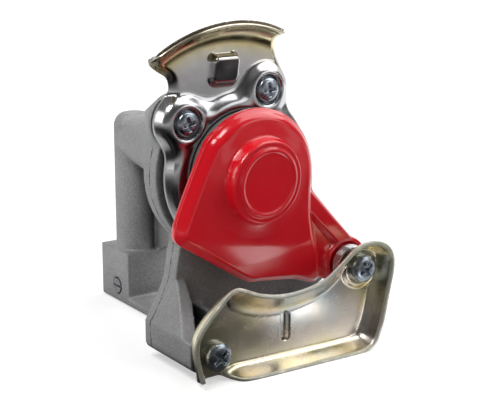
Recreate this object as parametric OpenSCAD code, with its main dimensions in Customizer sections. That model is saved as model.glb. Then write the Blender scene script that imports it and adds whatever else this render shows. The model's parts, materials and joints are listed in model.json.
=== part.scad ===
// Gladhand air brake coupler: cast housing with elbow and port, two sheet coupling plates,
// a spring-closed cap on a pivot screw, and a shut-off valve behind the sealing ring.
// Drawn round the centre of the sealing face, Y pointing back; placed with the port mouth at the origin.

/* [Coupling face] */
// radius of the round flange
flange_r = 36.2; // [35:0.1:38]
// front face of the flange behind the sealing plane
flange_front = 16; // [15:0.5:17]
// back face of the flange behind the sealing plane
flange_back = 26; // [25:0.5:28]
// radius of the round nose that carries the seal
nose_r = 26; // [25.5:0.1:26.2]
// front of the nose behind the sealing plane
nose_front = 1.5; // [1:0.1:2]
// distance of the ear screws from the seal axis
ear_r = 35.4; // [34.5:0.1:36]
// direction of the left ear screw
ear_left_angle = 139.7; // [137:0.1:142]
// direction of the right ear screw
ear_right_angle = 70.7; // [69:0.1:73]

/* [Guide plate] */
// thickness of both sheet plates
sheet_t = 2.5; // [2:0.1:2.8]
// front of the raised ring behind the sealing plane
plate_front = 5; // [4.5:0.1:5.5]
// radius of the raised ring
ring_r = 34.3; // [34:0.1:35]
// radius of the round opening for the nose
ring_opening_r = 26.6; // [26.4:0.1:27.5]
// depth of the drawn skirt
skirt_depth = 7.5; // [6:0.1:8]
// radius of the lobe round each ear screw
ear_lobe_r = 11.9; // [11.5:0.1:12.5]
// step back from the ring to the neck
neck_step = 3; // [2.5:0.1:3.5]
// radius where the lip starts to curl forward
lip_base_r = 57.5; // [56.5:0.1:59]
// inner radius of the lip curl
lip_curl_r = 6; // [5:0.1:7]
// straight length of the lip after its curl
lip_length = 4; // [2:0.1:5]
// width of the square bump on the neck
bump_w = 12.4; // [11:0.1:13]
// height of the square bump on the neck
bump_h = 11; // [10:0.1:11.5]
// how far the bump stands forward of the neck
bump_out = 4; // [3:0.1:4.5]

/* [Claw plate] */
// back face of the claw floor in front of the sealing plane
claw_gap = 11; // [10.5:0.1:12]
// depth of the flared rim in front of the floor
rim_depth = 8.5; // [7:0.1:9]
// flare of the rim along the concave top
top_flare = 8; // [7:0.1:8.5]
// flare of the other rims
side_flare = 2.2; // [1.8:0.1:2.6]
// radius of the concave top edge of the floor
claw_arc_r = 57.2; // [56.5:0.1:58]
// width of the pressed groove rib
rib_w = 5; // [4.6:0.1:6]
// length of the pressed groove rib
rib_l = 12; // [10:0.1:14]
// how far the groove rib stands back of the floor
rib_out = 2.2; // [1.5:0.1:2.5]

/* [Cap] */
// clearance between the closed cap and the sealing plane
cap_gap = 0.5; // [0.4:0.1:1]
// wall of the moulded cap
cap_wall = 2.4; // [2:0.1:2.6]
// radius of the cap's round rim
cap_r = 28; // [27.6:0.1:28.6]
// thickness of the wing and lip
cap_rim = 2.6; // [2.4:0.1:3.2]
// radius where the dome leaves the rim
dome_r = 26.6; // [26:0.1:27]
// radius of the boss at its foot
boss_base_r = 17.6; // [17:0.1:18]
// radius of the boss top face
boss_top_r = 13.8; // [13:0.1:14.2]
// front of the boss before the sealing plane
boss_front = 13; // [12.5:0.1:13.5]
// lean of the boss toward the pivot
boss_lean = 5; // [3:0.5:6]
// outer radius of the hub round the pivot
hub_r = 11; // [10.5:0.1:11.5]

/* [Pivot and screws] */
// pivot axis, to the right of the seal axis
pivot_x = 45.7; // [45:0.1:46.5]
// pivot axis, above the seal axis
pivot_z = -43.1; // [-44:0.1:-42.5]
// outer radius of the pivot bush
bush_r = 5.5; // [5:0.1:6]
// running clearance of the cap on its bush
bush_clearance = 0.05; // [0.03:0.01:0.09]
// shank radius of the two large screws
claw_screw_r = 3; // [2.8:0.1:3]
// head radius of the two large screws
claw_head_r = 6; // [5.6:0.1:6.2]
// shank radius of the ear screws
ear_screw_r = 2.5; // [2.3:0.1:2.6]
// head radius of the ear screws
ear_head_r = 5; // [4.7:0.1:5.2]
// lower screw, to the right of the seal axis
foot_screw_x = -26.5; // [-27:0.1:-26]
// lower screw, above the seal axis
foot_screw_z = -68.4; // [-68.8:0.1:-68]
// radial clearance of the plate holes round the screws
hole_clearance = 0.3; // [0.2:0.05:0.4]

/* [Elbow and port] */
// distance of the vertical tube behind the sealing plane
tube_y = 99; // [97:0.5:102]
// outer radius of the vertical tube
tube_r = 9.6; // [9.4:0.1:10]
// outer radius of the horizontal chamber at its back
chamber_r = 13; // [12.6:0.1:13.4]
// height of the port mouth against the seal axis
port_z = -78.5; // [-80:0.5:-77]
// width of the port block, left to right
block_w = 22; // [21:0.5:24]
// length of the port block, front to back
block_l = 26.4; // [26:0.2:28]
// how far the port block reaches in front of the tube axis
block_front = 11; // [10.5:0.1:11.5]
// height of the port block
block_h = 25.3; // [24:0.1:26]
// bore radius of the port thread
port_r = 7.25; // [7:0.05:7.5]
// depth of the port thread
port_depth = 15; // [13:0.5:16]
// radius of the air way
air_r = 5.5; // [5:0.1:6]

/* [Valve] */
// radius of the chamber bore
chamber_bore_r = 11; // [10.8:0.1:11.2]
// outer radius of the sealing ring
seal_r = 22; // [21.5:0.1:22.2]
// radius of the bore in the seat bush
seat_bore_r = 7; // [6.8:0.1:7.2]
// running clearance of the plunger stem in the seat bush
stem_clearance = 0.05; // [0.03:0.01:0.09]
// travel of the plunger when the other coupler opens it
valve_travel = 5; // [4:0.1:5]
// wire radius of the valve spring
valve_wire_r = 0.7; // [0.6:0.05:0.8]
// wire radius of the cap spring
cap_wire_r = 0.9; // [0.8:0.05:0.95]

/* [Hidden] */
$fn = 72;
ear_left = ear_r * [cos(ear_left_angle), sin(ear_left_angle)];
ear_right = ear_r * [cos(ear_right_angle), sin(ear_right_angle)];
pivot = [pivot_x, pivot_z];
foot_screw = [foot_screw_x, foot_screw_z];
neck_front = plate_front + neck_step;
lip_centre = [-6, -2];
cup_floor = plate_front + 2;
claw_back = -claw_gap;
claw_front = -claw_gap - sheet_t;
pad_front = claw_front - 1.5;
claw_arc_centre = [4.3, 2];
foot_left = -36.8;
foot_bottom = -75.4;
plug_z = port_z + 7.3;
pillar_front = 6;
hub_back = pillar_front - 0.3;
hub_front = -4;
cap_coil_r = bush_r + 1.9;
stop_angle = 62;
cap_back = -cap_gap;
rim_front = cap_back - cap_rim;
dome_front = -boss_front + 4.4;
seat_back = 20;
seat_outer_r = chamber_bore_r + 2;
seal_bore_r = seat_outer_r - 0.4;
chamber_end = tube_y - 37;
stem_front = 9 - valve_travel;
rim_r = 10.6;
right_rim_r = 11.4;
right_angle = -12;
right_normal = [cos(right_angle), sin(right_angle)];
claw_bottom = -74.1;
corner_r = 8.4;
corner_z = claw_bottom + corner_r;
right_reach = pivot * right_normal + right_rim_r - side_flare - corner_r;
corner_x = (right_reach - corner_z * right_normal[1]) / right_normal[0];
claw_corner = [corner_x, corner_z];
top_end_angle = atan2(pivot_z - claw_arc_centre[1], pivot_x - claw_arc_centre[0]);
claw_left = -34;
left_corner = [claw_left + 4, -62];
left_slant = [cos(135), sin(135)];
left_way = [cos(45), sin(45)];
slant_end = left_corner + 4 * left_slant;
slant_start = slant_end + 18 * left_way;

// a flat outline seen from the front, drawn out between two depths
module depth(front, back) {
    translate([0, back, 0]) rotate([90, 0, 0]) linear_extrude(height = back - front) children();
}

// a round bar along the depth at one place of the face
module bar(at, r, front, back) {
    depth(front, back) translate(at) circle(r = r);
}

// a profile of radius and depth turned about an axis along the depth
module turned(at = [0, 0]) {
    translate([at[0], 0, at[1]]) rotate([-90, 0, 0]) rotate_extrude() children();
}

// pan head with a cross recess, its underside at one depth
module pan_screw(at, head_r, head_h, shank_r, under, length) {
    translate([at[0], under, at[1]]) rotate([90, 0, 0]) {
        difference() {
            union() {
                cylinder(r = head_r, h = head_h * 0.45);
                translate([0, 0, head_h * 0.45])
                    cylinder(r1 = head_r, r2 = head_r * 0.78, h = head_h * 0.35);
                translate([0, 0, head_h * 0.8])
                    cylinder(r1 = head_r * 0.78, r2 = head_r * 0.5, h = head_h * 0.2);
            }
            for (turn = [0, 90]) rotate([0, 0, turn])
                translate([-head_r * 0.55, -head_r * 0.1, head_h * 0.4])
                    cube([head_r * 1.1, head_r * 0.2, head_h]);
        }
        translate([0, 0, -length]) cylinder(r = shank_r, h = length);
    }
}

// outline of the flange with foot, pillar arm and ear lobes
module flange_outline() {
    circle(r = flange_r);
    polygon([[-24.5, -20], [-24.8, -29], [-26.1, -35.3], [-27.6, -44.6], [-30.8, -52.1], [-35, -59.4],
        [foot_left, -62.4], [foot_left, foot_bottom + 4], [-15, foot_bottom + 4], [-12, -70],
        [33, -67], [pivot_x + 6.5, pivot_z - 12], [pivot_x + 9, pivot_z], [30, -15], [0, 0]]);
    translate([foot_left + 4, foot_bottom + 4]) circle(r = 4);
    translate([foot_left + 4, foot_bottom]) square([-foot_left - 4, 8]);
    translate([-block_w / 2, port_z]) square([block_w, 22]);
    translate(pivot) circle(r = 9.2);
}

// bell from the flange to the chamber, and the chamber itself
module bell() {
    turned() polygon([[0, flange_back - 1], [flange_r - 1.5, flange_back - 1],
        [flange_r - 2.5, flange_back + 2], [29, flange_back + 8], [22.5, flange_back + 18],
        [17.5, flange_back + 30], [14.4, flange_back + 43], [chamber_r, flange_back + 52],
        [tube_r + 0.3, tube_y], [0, tube_y]]);
}

// elbow end, tube, port block and bottom ledge
module elbow() {
    translate([0, tube_y, 0]) {
        rotate_extrude() polygon([[0, port_z + block_h - 1], [tube_r, port_z + block_h - 1], [tube_r, 3],
            [tube_r - 0.9, 6.4], [tube_r - 2.6, 9.6], [tube_r - 4.4, 11.8], [tube_r - 7, 13.4],
            [0, 13.8]]);
        translate([-block_w / 2, -block_front, port_z]) cube([block_w, block_l, block_h]);
    }
    translate([-block_w / 2, flange_back - 1, port_z]) cube([block_w, tube_y - flange_back - 5, 3.4]);
    translate([tube_r - 3.6, flange_back - 1, 0]) rotate([90, 0, 90]) linear_extrude(height = 3.6)
        polygon([[12, -12], [12, -34], [48, port_z + block_h + 6],
            [tube_y - flange_back - 9, port_z + block_h - 1], [tube_y - flange_back, port_z + block_h - 1],
            [tube_y - flange_back, -4], [40, -4]]);
}

// slanted web that stiffens the foot, its outline cut from the side
module foot_web() {
    intersection() {
        depth(-5, flange_front + 1)
            polygon([[-26.6, -42], [-27.6, -45], [-30.8, -52.1], [-35, -59.4], [foot_left, -62.4],
                [foot_left, -67], [-32, -67], [-24.5, -52], [-22.6, -44], [-22.6, -42]]);
        translate([-60, 0, 0]) rotate([90, 0, 90]) linear_extrude(height = 60)
            polygon([[flange_front + 2, -44], [flange_front - 1, -45], [-4.5, -62.4], [-4.5, -70],
                [flange_front + 2, -70]]);
    }
}

// conical boss behind an ear
module ear_boss(ear) {
    turned(ear) polygon([[0, flange_front - 1], [11.8, flange_front - 1], [11.8, flange_front + 1],
        [1.5, flange_front + 22], [0, flange_front + 22]]);
}

module housing() color([0.62, 0.63, 0.64]) {
    difference() {
        union() {
            depth(flange_front, flange_back) flange_outline();
            bell();
            elbow();
            bar([0, 0], nose_r, nose_front, flange_front + 1);
            for (ear = [ear_left, ear_right]) {
                bar(ear, 8, cup_floor + sheet_t, flange_front + 1);
                ear_boss(ear);
            }
            bar(pivot, 8.5, pillar_front, flange_front + 1);
            translate([pivot_x, 0, pivot_z]) rotate([0, -stop_angle, 0])
                translate([7.5, pillar_front + 1, 2.3]) cube([3.3, flange_front - pillar_front, 4]);
            translate([foot_left, claw_back, foot_bottom + 4])
                cube([21.8, flange_front - claw_back + 1, 9]);
            translate([foot_left + 4, claw_back, foot_bottom])
                cube([17.8, flange_front - claw_back + 1, 5]);
            bar([foot_left + 4, foot_bottom + 4], 4, claw_back, flange_front + 1);
            foot_web();
            translate([-19, 2, -66]) cube([3, flange_front - 1, 10]);
        }
        bar([0, 0], seal_r + 0.2, nose_front - 1, 10);
        bar([0, 0], seat_outer_r, 9, seat_back);
        bar([0, 0], seat_outer_r + 0.7, 11, 12.3);
        bar([0, 0], chamber_bore_r, 12, chamber_end);
        bar([0, 0], 8, chamber_end - 1, tube_y);
        translate([0, tube_y, 0]) sphere(r = 8);
        translate([0, tube_y, port_z + port_depth - 1]) cylinder(r = air_r, h = -port_z - port_depth + 1);
        translate([0, tube_y, port_z - 1]) cylinder(r = port_r, h = port_depth + 1);
        translate([-block_w / 2 - 1, tube_y, plug_z]) rotate([0, 90, 0]) cylinder(r = 3, h = 7);
        translate([-block_w / 2 - 1, tube_y, plug_z]) rotate([0, 90, 0]) cylinder(r = 3.9, h = 3.2);
        bar(pivot, claw_screw_r, pillar_front - 1, 22);
        bar(foot_screw, claw_screw_r, claw_back - 1, 12);
        for (ear = [ear_left, ear_right]) bar(ear, ear_screw_r, cup_floor, 24);
    }
}

// raised outline of the guide plate, drawn in by a wall
module raised_outline(inset) {
    circle(r = ring_r - inset);
    for (ear = [ear_left, ear_right]) translate(ear) circle(r = ear_lobe_r - inset);
}

// outline of the neck up to the curl of the lip
module neck_outline() {
    intersection() {
        translate(lip_centre) circle(r = lip_base_r + 0.3);
        polygon([[-32.4, 20], [-32.4, 38.5], [-34.2, 42], [-42, 42.3], [-46, 58], [-20, 70], [20, 70],
            [18.2, 51], [20.6, 46], [21.8, 41], [22.5, 32]]);
    }
}

// cross-section of the curled lip, radius against height before the neck; a hair thinner than the neck
module lip_section() {
    translate([lip_base_r, lip_curl_r - neck_front]) {
        intersection() {
            difference() {
                circle(r = lip_curl_r + sheet_t - 0.04);
                circle(r = lip_curl_r + 0.04);
            }
            polygon([[0, 0], [0, -20], [40, -20], [40, -10.7]]);
        }
        translate([-1, -lip_curl_r - sheet_t + 0.04]) square([1, sheet_t - 0.08]);
        rotate(75) translate([-0.3, -lip_curl_r - sheet_t + 0.08])
            square([lip_length + 0.3, sheet_t - 0.16]);
    }
}

module guide_plate() color([0.80, 0.79, 0.74]) {
    difference() {
        union() {
            depth(plate_front, plate_front + sheet_t) raised_outline(0);
            depth(plate_front, plate_front + skirt_depth) difference() {
                raised_outline(0);
                raised_outline(sheet_t);
                neck_outline();
            }
            depth(plate_front, neck_front + sheet_t) intersection() {
                neck_outline();
                difference() {
                    raised_outline(0);
                    raised_outline(sheet_t);
                }
            }
            depth(neck_front, neck_front + sheet_t) difference() {
                neck_outline();
                raised_outline(sheet_t);
            }
            translate([lip_centre[0], 0, lip_centre[1]]) rotate([90, 0, 0]) rotate([0, 0, 68.5])
                rotate_extrude(angle = 58.5) lip_section();
            translate([-8.6 - bump_w / 2, neck_front - bump_out, 43.8 - bump_h / 2])
                cube([bump_w, bump_out + sheet_t, bump_h]);
            for (ear = [ear_left, ear_right]) bar(ear, 8.8, plate_front, cup_floor + sheet_t);
        }
        bar([0, 0], ring_opening_r, plate_front - 1, plate_front + skirt_depth + 1);
        translate([-8.6 - bump_w / 2 + 2, neck_front - bump_out + 2, 43.8 - bump_h / 2 + 2])
            cube([bump_w - 4, bump_out + sheet_t, bump_h - 4]);
        for (ear = [ear_left, ear_right]) {
            bar(ear, 6.6, plate_front - 1, cup_floor);
            bar(ear, ear_screw_r + hole_clearance, cup_floor - 1, cup_floor + sheet_t + 1);
        }
    }
}

// cross-section of a flared rim: outward distance against height before the sealing plane
module rim_section(flare, grow = 0) {
    slant = norm([flare, rim_depth]);
    out = sheet_t * rim_depth / slant;
    up = sheet_t * flare / slant;
    base = (sheet_t - up) * flare / rim_depth;
    top = claw_gap + sheet_t + rim_depth;
    polygon([[-1, claw_gap + 0.2], [out - base + grow, claw_gap], [out + flare + grow, top - up + grow],
        [flare - grow, top + grow], [-grow - 0.2 * flare / rim_depth, claw_gap + sheet_t - 0.2],
        [-1.2, claw_gap + sheet_t - 0.3]]);
}

// all that lies inside the outer face of a flared rim
module rim_inside(flare) {
    slant = norm([flare, rim_depth]);
    foot = sheet_t * rim_depth / slant - sheet_t * flare / rim_depth - 0.25;
    up = sheet_t * flare / slant;
    foot_up = foot + up * flare / rim_depth;
    polygon([[-90, claw_gap - 4], [foot_up - 4 * flare / rim_depth, claw_gap - 4],
        [foot_up + 16 * flare / rim_depth, claw_gap + 16], [-90, claw_gap + 16]]);
}

// outline drawn along one edge of the floor, outside on the right of the way from start to end
module along(start, end, more) {
    way = end - start;
    translate([start[0], 0, start[1]]) rotate([90, 0, 0]) rotate([0, 0, atan2(way[1], way[0])])
        rotate([90, 0, 90]) translate([0, 0, -more]) linear_extrude(height = norm(way) + 2 * more)
            mirror([1, 0, 0]) children();
}

// straight rim along one edge of the floor, a little over the ends of its neighbours
module straight_rim(start, end, flare) {
    along(start, end, 0.3) rim_section(flare, 0.04);
}

// outline turned along the concave top edge of the floor
module along_top(from, to) {
    translate([claw_arc_centre[0], 0, claw_arc_centre[1]]) rotate([90, 0, 0]) rotate([0, 0, from])
        rotate_extrude(angle = to - from) translate([claw_arc_r, 0]) mirror([1, 0, 0]) children();
}

// concave top rim and the slanted rim at its left, each ended inside the other
module top_left_rims() {
    intersection() {
        along_top(-123, top_end_angle + 0.4) rim_section(top_flare);
        along(slant_start, slant_end, 120) rim_inside(side_flare);
    }
    intersection() {
        along(slant_start + 12 * left_way, slant_end, 0.3) rim_section(side_flare, 0.04);
        along_top(-150, -90) rim_inside(top_flare);
    }
}

// rim round an outward corner of the floor
module corner_rim(at, r, flare, from, sweep) {
    translate([at[0], 0, at[1]]) rotate([90, 0, 0]) rotate([0, 0, from])
        rotate_extrude(angle = sweep) translate([r, 0]) rim_section(flare);
}

// thin slice of the rim round the pivot corner, its flare changing with the direction
module pivot_slice(part) {
    angle = top_end_angle + 180 + (right_angle - top_end_angle - 180) * part;
    flare = top_flare + (side_flare - top_flare) * part;
    r = rim_r + (right_rim_r - rim_r) * part;
    translate([pivot_x, 0, pivot_z]) rotate([90, 0, 0]) rotate([0, 0, angle]) rotate([90, 0, 0])
        linear_extrude(height = 0.1) translate([r - flare, 0]) rim_section(flare);
}

// flared rim round the pivot corner, from the concave top to the right edge
module pivot_rim() {
    steps = 4;
    for (i = [0 : steps - 1]) hull() {
        pivot_slice(i / steps);
        pivot_slice((i + 1) / steps);
    }
}

// outline of the claw floor
module claw_floor() {
    difference() {
        polygon([slant_start, slant_end, [claw_left, left_corner[1]], [claw_left, -73.8],
            [claw_left + 2.7, -76], [-20, -76], [-16, claw_bottom], [claw_corner[0], claw_bottom],
            claw_corner + corner_r * [cos(-60), sin(-60)], claw_corner + corner_r * [cos(-30), sin(-30)],
            claw_corner + corner_r * right_normal, pivot + (right_rim_r - side_flare) * right_normal,
            pivot, [pivot_x - 8, pivot_z + 12], [-10, -30]]);
        translate(claw_arc_centre) circle(r = claw_arc_r + 0.3);
    }
    translate(pivot) circle(r = 8);
}

// pressed groove down the claw floor: a bar with rounded ends, seen from the front
module groove(w, l, front, back) {
    depth(front, back) translate([7.6, -62.8]) {
        square([w, l - w], center = true);
        for (end = [-1, 1]) translate([0, end * (l - w) / 2]) circle(r = w / 2);
    }
}

module claw_plate() color([0.76, 0.72, 0.56]) {
    difference() {
        union() {
            depth(claw_front, claw_back) claw_floor();
            top_left_rims();
            pivot_rim();
            corner_rim(left_corner, 4, side_flare, 135, 45);
            straight_rim([claw_left, left_corner[1]], [claw_left, -74.5], side_flare);
            straight_rim([-18.5, claw_bottom], [claw_corner[0], claw_bottom], side_flare);
            corner_rim(claw_corner, corner_r, side_flare, -90, 90 + right_angle);
            straight_rim(claw_corner + corner_r * right_normal,
                pivot + (right_rim_r - side_flare) * right_normal, side_flare);
            bar(pivot, 8.5, pad_front, claw_back);
            groove(rib_w, rib_l + 2, claw_front, claw_back + rib_out);
        }
        groove(rib_w - 2.4, rib_l - 0.4, claw_front - 1, claw_back + rib_out - 1.4);
        bar(pivot, claw_head_r + 1.2, claw_front - rim_depth - 1, pad_front);
        bar(pivot, claw_screw_r + hole_clearance, pad_front - 1, claw_back + 1);
        bar(foot_screw, claw_screw_r + hole_clearance, claw_front - 1, claw_back + 1);
    }
}

module ear_screws() color([0.70, 0.73, 0.78]) {
    for (ear = [ear_left, ear_right]) pan_screw(ear, ear_head_r, 3.6, ear_screw_r, cup_floor, 16);
}

module claw_screw() color([0.70, 0.73, 0.78]) {
    pan_screw(foot_screw, claw_head_r, 4.4, claw_screw_r, claw_front, 22);
}

module pivot_screw() color([0.70, 0.73, 0.78]) {
    pan_screw(pivot, claw_head_r, 4.4, claw_screw_r, pad_front, 34);
}

module pivot_bush() color([0.66, 0.67, 0.68]) {
    difference() {
        bar(pivot, bush_r, claw_back, pillar_front);
        bar(pivot, claw_screw_r + hole_clearance, claw_back - 1, pillar_front + 1);
    }
}

// flat outline of the wing and lip of the cap
module wing_outline() {
    polygon([[-25.6, 11], [-36.8, -15.5], [-37.2, -19], [-35.8, -22.2], [-5.5, -42.6], [-2, -44],
        [1.5, -44.2], [32, -48], [25, 4], [0, 18]]);
}

// skirt of the cap, sloped up from the wing and lip to the dome
module cap_skirt(shrink, set_back) {
    translate([0, set_back, 0]) hull() {
        depth(rim_front, cap_back) translate([0, -8]) scale(shrink) translate([0, 8]) wing_outline();
        bar([0, 0], cap_r * shrink, cap_back - 1, cap_back);
        bar([0, 0], dome_r * shrink, rim_front - 1.2, rim_front);
    }
}

// dome of the cap and the boss, which leans a little toward the pivot
module cap_dome() {
    turned() polygon([[0, rim_front + 0.5], [dome_r - 0.3, rim_front + 0.5],
        [dome_r - 0.3, rim_front - 1.4], [boss_base_r - 0.6, dome_front], [0, dome_front]]);
    translate([0, 0, -1]) rotate([boss_lean * 0.69, 0, boss_lean * 0.73]) turned()
        polygon([[0, -boss_front], [boss_top_r, -boss_front], [boss_top_r + 0.8, -boss_front + 0.5],
            [boss_base_r, -boss_front + 3.6], [boss_base_r, rim_front - 1.8], [0, rim_front - 1.8]]);
}

module cap() color([0.85, 0.06, 0.08]) {
    difference() {
        union() {
            cap_skirt(1, 0);
            cap_dome();
            depth(rim_front - 0.6, cap_back)
                polygon([[16, 0], [25.5, -6.2], pivot + (hub_r - 1.4) * [cos(44), sin(44)],
                    pivot + hub_r * [cos(-100), sin(-100)], [32, -48], [12, -40]]);
            depth(rim_front - 2.4, cap_back - 0.4)
                polygon([[19, -4], [26, -7.4], pivot + (hub_r - 1.8) * [cos(44), sin(44)],
                    pivot + 4 * [cos(44), sin(44)] + 8 * [cos(134), sin(134)], [20, -12]]);
            bar(pivot, hub_r - 0.9, hub_front, hub_back);
            bar(pivot, hub_r + 0.1, rim_front - 2.3, rim_front + 1.6);
            translate([pivot_x, 0, pivot_z]) rotate([0, -stop_angle, 0])
                translate([8.8, hub_back - 1, -2]) cube([2, 5, 4]);
        }
        cap_skirt(0.9, cap_wall);
        turned() polygon([[0, cap_back + 1], [dome_r - 3, cap_back + 1], [dome_r - 3, rim_front + 1.4],
            [boss_base_r - 3, dome_front + 2.2], [boss_top_r - 2.4, -boss_front + cap_wall + 1.2],
            [0, -boss_front + cap_wall + 1.2]]);
        bar(pivot, bush_r + bush_clearance, hub_front - 1, hub_back + 1);
        bar(pivot, cap_coil_r + cap_wire_r + 0.4, hub_front - 4, hub_front + 0.1);
    }
    difference() {
        bar([0, 0], boss_base_r - 1.6, rim_front - 3, cap_back);
        bar([0, 0], boss_base_r - 3.4, rim_front - 4, cap_back + 1);
    }
}

// points of a wire coil about the depth axis
function coil_points(r, wire, length, turns, steps, sides) = [
    for (i = [0 : steps]) for (j = [0 : sides - 1])
        let (around = 360 * turns * i / steps, tilt = 360 * j / sides, out = r + wire * cos(tilt))
        [out * cos(around), length * i / steps + wire * sin(tilt), out * sin(around)]];

// faces of a tube made of rings of points
function coil_faces(steps, sides) = concat(
    [[for (j = [0 : sides - 1]) j]],
    [for (i = [0 : steps - 1]) for (j = [0 : sides - 1])
        let (next = (j + 1) % sides)
        [i * sides + j, (i + 1) * sides + j, (i + 1) * sides + next, i * sides + next]],
    [[for (j = [sides - 1 : -1 : 0]) steps * sides + j]]);

// wire coil that starts at one depth
module coil(r, wire, start, length, turns) {
    steps = round(20 * turns);
    sides = 10;
    translate([0, start + wire, 0])
        polyhedron(points = coil_points(r, wire, length - 2 * wire, turns, steps, sides),
            faces = coil_faces(steps, sides), convexity = 10);
}

module cap_spring() color([0.75, 0.76, 0.78]) {
    translate([pivot_x, 0, pivot_z])
        coil(cap_coil_r, cap_wire_r, claw_back + 0.3, hub_front - claw_back - 0.6, 3.2);
}

module sealing_ring() color([0.08, 0.08, 0.09]) {
    turned() polygon([[seal_bore_r, 10], [seal_r, 10], [seal_r, 3.4], [seal_r - 2, 2.6], [seal_r - 4, 0.4],
        [seal_r - 4.8, 0], [seal_bore_r + 1.8, 0], [seal_bore_r + 0.8, 0.6], [seal_bore_r, 2.4]]);
}

module retaining_ring() color([0.55, 0.56, 0.58]) {
    difference() {
        bar([0, 0], seat_outer_r + 0.65, 11.05, 12.25);
        bar([0, 0], seat_outer_r - 1.6, 10, 13);
        translate([-2.5, 10, -15]) cube([5, 3, 8]);
    }
}

module seat_bush() color([0.78, 0.63, 0.32]) {
    turned() polygon([[seat_bore_r, 12.3], [seat_outer_r, 12.3], [seat_outer_r, 15], [seat_outer_r - 1.7, 15],
        [seat_outer_r - 1.7, 17.2], [seat_outer_r, 17.2], [seat_outer_r, seat_back],
        [seat_bore_r + 2.4, seat_back], [seat_bore_r + 1.6, seat_back - 0.6], [seat_bore_r, seat_back - 0.6]]);
}

module seat_seal() color([0.08, 0.08, 0.09]) {
    turned() translate([seat_outer_r - 0.85, 16.1]) circle(r = 0.84);
}

module valve_plunger() color([0.70, 0.71, 0.72]) {
    difference() {
        union() {
            bar([0, 0], seat_bore_r - stem_clearance, stem_front, seat_back + 1.9);
            bar([0, 0], chamber_bore_r - 0.8, seat_back + 1.9, seat_back + 5);
            bar([0, 0], seat_bore_r + 0.6, seat_back + 4, seat_back + 8);
        }
        for (turn = [90, 210, 330])
            translate((seat_bore_r + 0.6) * [cos(turn), 0, sin(turn)]) bar([0, 0], 3.6, 3, seat_back - 0.8);
        bar([0, 0], 2.4, 3, 10);
    }
}

module plunger_seal() color([0.08, 0.08, 0.09]) {
    difference() {
        bar([0, 0], chamber_bore_r - 1.1, seat_back + 0.05, seat_back + 1.9);
        bar([0, 0], seat_bore_r - stem_clearance, seat_back - 1, seat_back + 3);
    }
}

module valve_spring() color([0.75, 0.76, 0.78]) {
    coil(chamber_bore_r - 1.8, valve_wire_r, seat_back + 5, chamber_end - seat_back - 5, 7);
}

module side_plug() color([0.62, 0.62, 0.60]) {
    translate([-block_w / 2, tube_y, plug_z]) rotate([0, 90, 0]) difference() {
        union() {
            translate([0, 0, -0.3]) cylinder(r = 3.6, h = 1.5);
            translate([0, 0, 1]) cylinder(r = 2.8, h = 1.4);
            translate([0, 0, 2.2]) cylinder(r = 3, h = 1.5);
        }
        translate([-0.5, -4, -1]) cube([1, 8, 1.5]);
    }
}

module plug_seal() color([0.08, 0.08, 0.09]) {
    translate([-block_w / 2 + 1.7, tube_y, plug_z]) rotate([0, 90, 0])
        rotate_extrude() translate([3.32, 0]) circle(r = 0.48);
}

translate([0, -tube_y, -port_z]) {
    housing();
    guide_plate();
    claw_plate();
    ear_screws();
    claw_screw();
    pivot_screw();
    pivot_bush();
    cap();
    cap_spring();
    sealing_ring();
    retaining_ring();
    seat_bush();
    seat_seal();
    valve_plunger();
    plunger_seal();
    valve_spring();
    side_plug();
    plug_seal();
}
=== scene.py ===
import json
import math

import bmesh
import bpy
import numpy as np
from mathutils import Matrix, Vector


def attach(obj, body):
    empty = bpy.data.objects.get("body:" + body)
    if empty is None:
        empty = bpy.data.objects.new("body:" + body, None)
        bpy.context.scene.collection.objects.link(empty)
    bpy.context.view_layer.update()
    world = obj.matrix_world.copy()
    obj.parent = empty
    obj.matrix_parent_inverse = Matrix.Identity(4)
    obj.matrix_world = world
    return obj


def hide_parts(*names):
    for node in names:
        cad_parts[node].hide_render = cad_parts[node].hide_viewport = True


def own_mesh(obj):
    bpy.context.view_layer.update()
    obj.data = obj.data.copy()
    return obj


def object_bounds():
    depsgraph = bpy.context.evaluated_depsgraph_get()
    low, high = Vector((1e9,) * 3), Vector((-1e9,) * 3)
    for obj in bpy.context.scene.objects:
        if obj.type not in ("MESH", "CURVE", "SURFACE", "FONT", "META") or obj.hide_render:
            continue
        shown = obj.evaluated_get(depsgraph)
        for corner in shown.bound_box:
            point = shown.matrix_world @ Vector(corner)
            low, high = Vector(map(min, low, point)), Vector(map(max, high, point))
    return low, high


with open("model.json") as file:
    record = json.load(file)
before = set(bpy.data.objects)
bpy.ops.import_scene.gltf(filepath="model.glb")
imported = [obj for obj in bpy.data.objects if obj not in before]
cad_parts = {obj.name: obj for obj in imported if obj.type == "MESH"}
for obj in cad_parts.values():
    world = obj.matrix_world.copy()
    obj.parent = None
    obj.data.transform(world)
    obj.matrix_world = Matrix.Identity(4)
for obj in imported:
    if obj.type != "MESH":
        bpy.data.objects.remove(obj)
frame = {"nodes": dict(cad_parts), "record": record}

solid_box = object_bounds()

# Housing: one aluminium die casting with the round flange, the bell, the elbow and tube, the port
# block and the foot. As cast: matte grey grain, a small radius on every edge, and a broken dark
# seam where the two halves of the die met. Recesses, corners and places under parts are darkened
# towards near-black as painted shade. Everything else is screwed or pressed into it.


def feed(tree, socket, value):
    """Links a shader input to another socket, or sets it to a value."""
    if isinstance(value, bpy.types.NodeSocket):
        tree.links.new(value, socket)
    elif socket.type == "RGBA":
        socket.default_value = (*value, 1)
    else:
        socket.default_value = value


def dress(tree, node, **inputs):
    """Feeds the inputs of a shader node by name, with _ for a space."""
    for key, value in inputs.items():
        feed(tree, node.inputs[key.replace("_", " ")], value)


def add(tree, kind, settings=(), **inputs):
    """A new shader node, with its own settings and its inputs."""
    node = tree.nodes.new("ShaderNode" + kind)
    for key, value in dict(settings).items():
        setattr(node, key, value)
    dress(tree, node, **inputs)
    return node


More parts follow.
